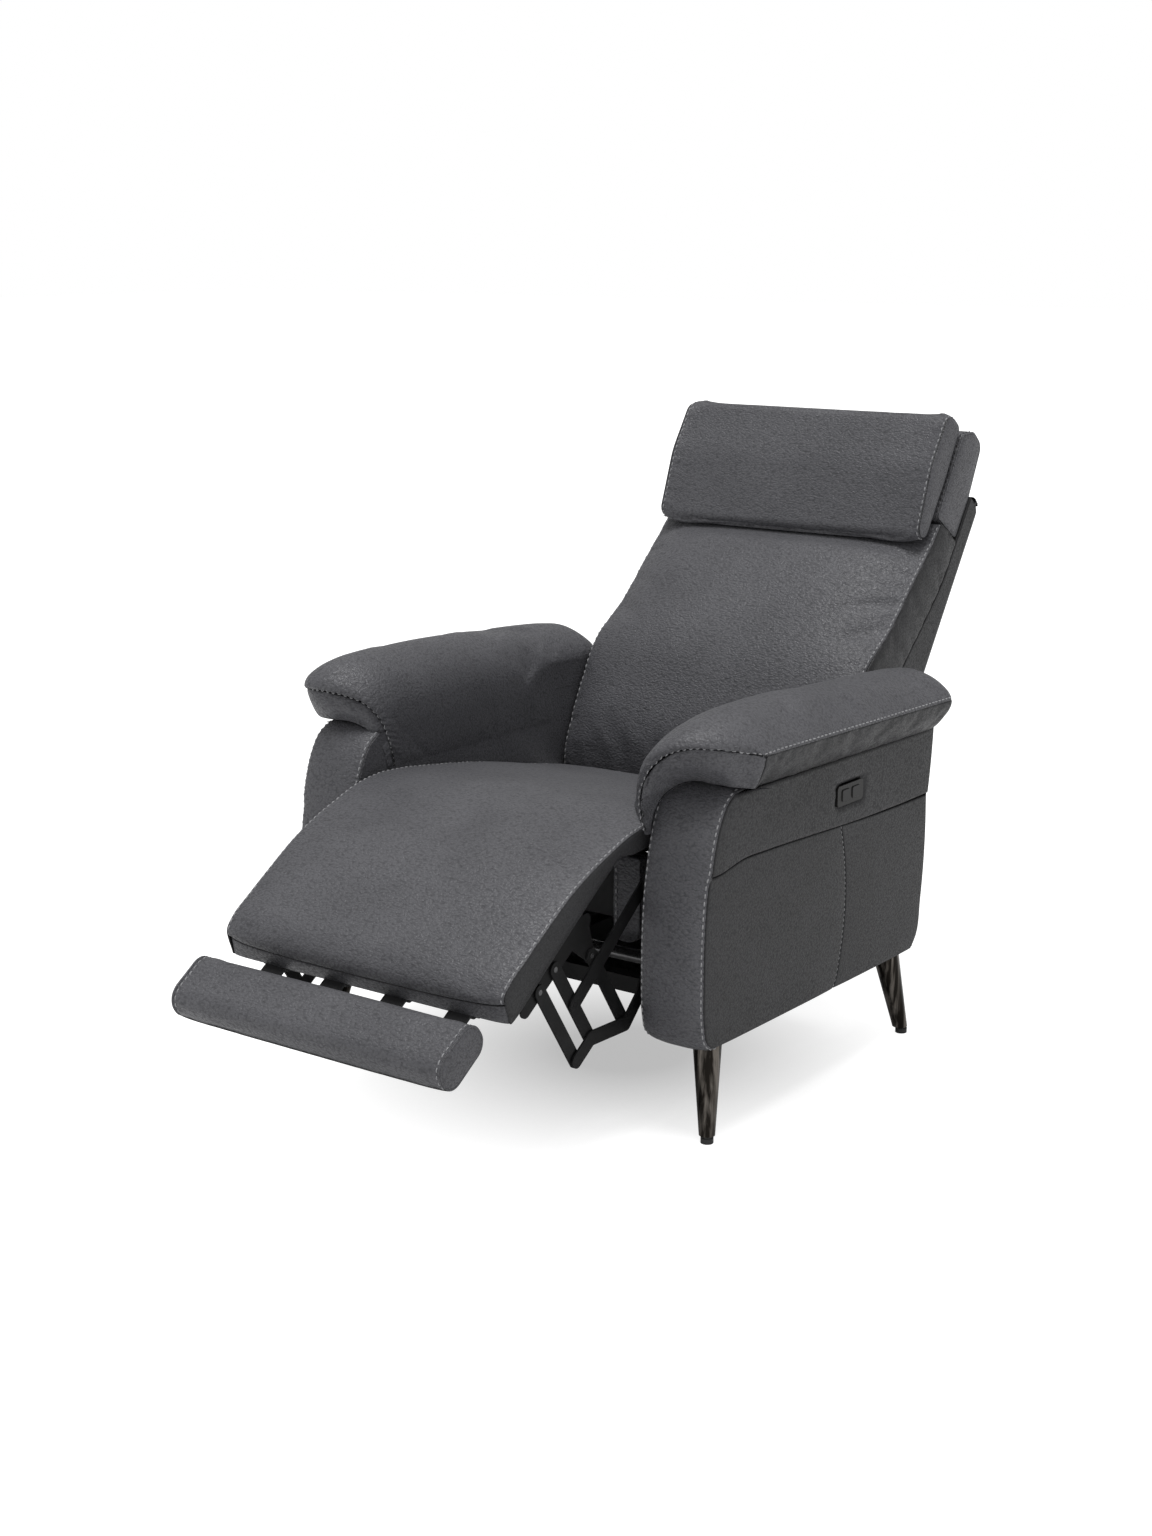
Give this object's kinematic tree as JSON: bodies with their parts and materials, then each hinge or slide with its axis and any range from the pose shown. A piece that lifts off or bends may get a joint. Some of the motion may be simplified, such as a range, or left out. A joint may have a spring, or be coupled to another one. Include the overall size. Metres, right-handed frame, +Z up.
{
  "type": "recliner armchair",
  "caption": "Power recliner armchair with a chaise legrest on scissor links, a flip-out footpad, a tilting headrest and padded arms on short legs.",
  "frame": {"origin": "on the floor, under the centre of the whole chair's outline as shown, legrest out", "axes": "+X towards the sitter's left arm, +Y towards the back, +Z up"},
  "size_m": [0.8644, 1.4435, 0.9848],
  "materials": {
    "leather": "pebbled semi-matte charcoal leather",
    "leg_metal": "glossy bronze-black lacquer",
    "linkage_steel": "black powder coat, satin",
    "glide_plastic": "moulded, matte",
    "frame_wood": "plain plywood and softwood",
    "webbing": "woven elastic belt",
    "strap": "black backing cloth over steel straps",
    "drive_plastic": "moulded, matte",
    "plate_plastic": "smooth, semi-gloss"
  },
  "bodies": {
    "base": {"arm_casing_left": "leather", "arm_casing_right": "leather", "arm_pad_left": "leather", "arm_pad_right": "leather", "arm_base_boards": "frame_wood", "front_legs": "leg_metal", "rear_legs": "leg_metal", "leg_plates": "leg_metal", "leg_glides": "glide_plastic", "leg_plate_screws": "linkage_steel", "base_rails": "linkage_steel", "dust_cover": "webbing", "front_cross_beam": "linkage_steel", "rear_cross_beam": "linkage_steel", "arm_brackets": "linkage_steel", "seat_side_plate_left": "linkage_steel", "seat_side_plate_right": "linkage_steel", "arm_spacers": "linkage_steel", "seat_pivot_pins": "linkage_steel", "seat_cushion": "leather", "seat_front_rail": "frame_wood", "seat_cheeks": "leather", "seat_rear_rail": "frame_wood", "seat_webbing": "webbing", "seat_rail_ears": "linkage_steel", "actuator_rail": "linkage_steel", "actuator_gearbox": "drive_plastic", "actuator_motor": "drive_plastic", "power_inlet": "drive_plastic", "control_plate": "plate_plastic"},
    "legrest": {"legrest_board": "frame_wood", "legrest_cushion": "leather", "legrest_brackets": "linkage_steel", "legrest_pins": "linkage_steel", "footpad_hinge": "linkage_steel"},
    "main_links": {"main_link_left": "linkage_steel", "main_link_right": "linkage_steel", "main_link_pins": "linkage_steel", "drive_tube": "linkage_steel"},
    "upper_links": {"upper_links": "linkage_steel"},
    "rear_risers": {"rear_risers": "linkage_steel"},
    "front_risers": {"front_risers": "linkage_steel"},
    "flipper_links": {"flipper_links": "linkage_steel"},
    "footpad": {"footpad_cushion": "leather", "footpad_board": "frame_wood", "footpad_straps": "strap"},
    "carriage": {"actuator_carriage": "drive_plastic"},
    "back": {"back_stiles": "frame_wood", "back_rails": "frame_wood", "back_webbing": "webbing", "back_hinge_arms": "linkage_steel", "back_shell": "leather", "back_cushion": "leather", "headrest_hinge_brackets": "linkage_steel"},
    "headrest": {"headrest_block": "leather", "headrest_pillow": "leather", "headrest_hinge_arms": "linkage_steel"},
    "button_up": {"button_up": "plate_plastic"},
    "button_down": {"button_down": "plate_plastic"}
  },
  "joints": [
    {"name": "legrest_fold", "type": "hinge", "parent": "base", "child": "legrest", "pos_m": [0, -0.309, 0.441], "axis": [1, 0, 0], "range_deg": [0, 56]},
    {"name": "main_links_turn", "type": "hinge", "parent": "base", "child": "main_links", "pos_m": [0, -0.229, 0.319], "axis": [1, 0, 0], "range_deg": [0, 56]},
    {"name": "upper_links_turn", "type": "hinge", "parent": "base", "child": "upper_links", "pos_m": [0, -0.269, 0.38], "axis": [1, 0, 0], "range_deg": [0, 56]},
    {"name": "rear_risers_turn", "type": "hinge", "parent": "legrest", "child": "rear_risers", "pos_m": [0, -0.401, 0.298], "axis": [1, 0, 0], "range_deg": [-56, 0]},
    {"name": "front_risers_turn", "type": "hinge", "parent": "legrest", "child": "front_risers", "pos_m": [0, -0.48547, 0.30026], "axis": [1, 0, 0], "range_deg": [-56, 0]},
    {"name": "flipper_links_turn", "type": "hinge", "parent": "legrest", "child": "flipper_links", "pos_m": [0, -0.52029, 0.27677], "axis": [1, 0, 0], "range_deg": [-56, 0]},
    {"name": "footpad_flip", "type": "hinge", "parent": "legrest", "child": "footpad", "pos_m": [0, -0.57699, 0.24818], "axis": [1, 0, 0], "range_deg": [0, 180.5]},
    {"name": "carriage_slide", "type": "slide", "parent": "base", "child": "carriage", "axis": [0, 1, 0], "range_m": [0, 0.0659]},
    {"name": "back_recline", "type": "hinge", "parent": "base", "child": "back", "pos_m": [0, 0.24, 0.315], "axis": [-1, 0, 0], "range_deg": [-22, 16]},
    {"name": "headrest_tilt", "type": "hinge", "parent": "back", "child": "headrest", "pos_m": [0, 0.54921, 0.76985], "axis": [1, 0, 0], "range_deg": [0, 30]},
    {"name": "button_up_press", "type": "slide", "parent": "base", "child": "button_up", "axis": [-1, 0, 0], "range_m": [0, 0.0015], "stiffness_N_per_m": 300},
    {"name": "button_down_press", "type": "slide", "parent": "base", "child": "button_down", "axis": [-1, 0, 0], "range_m": [0, 0.0015], "stiffness_N_per_m": 300}
  ],
  "couplings": [
    {"joint": "main_links_turn", "follows": "legrest_fold", "ratio": 1},
    {"joint": "upper_links_turn", "follows": "legrest_fold", "ratio": 1},
    {"joint": "rear_risers_turn", "follows": "legrest_fold", "ratio": -1},
    {"joint": "front_risers_turn", "follows": "legrest_fold", "ratio": -1},
    {"joint": "flipper_links_turn", "follows": "legrest_fold", "ratio": -1},
    {"joint": "footpad_flip", "follows": "legrest_fold", "ratio": 3.2143},
    {"joint": "carriage_slide", "follows": "legrest_fold", "m_per_rad": 0.06725}
  ]
}
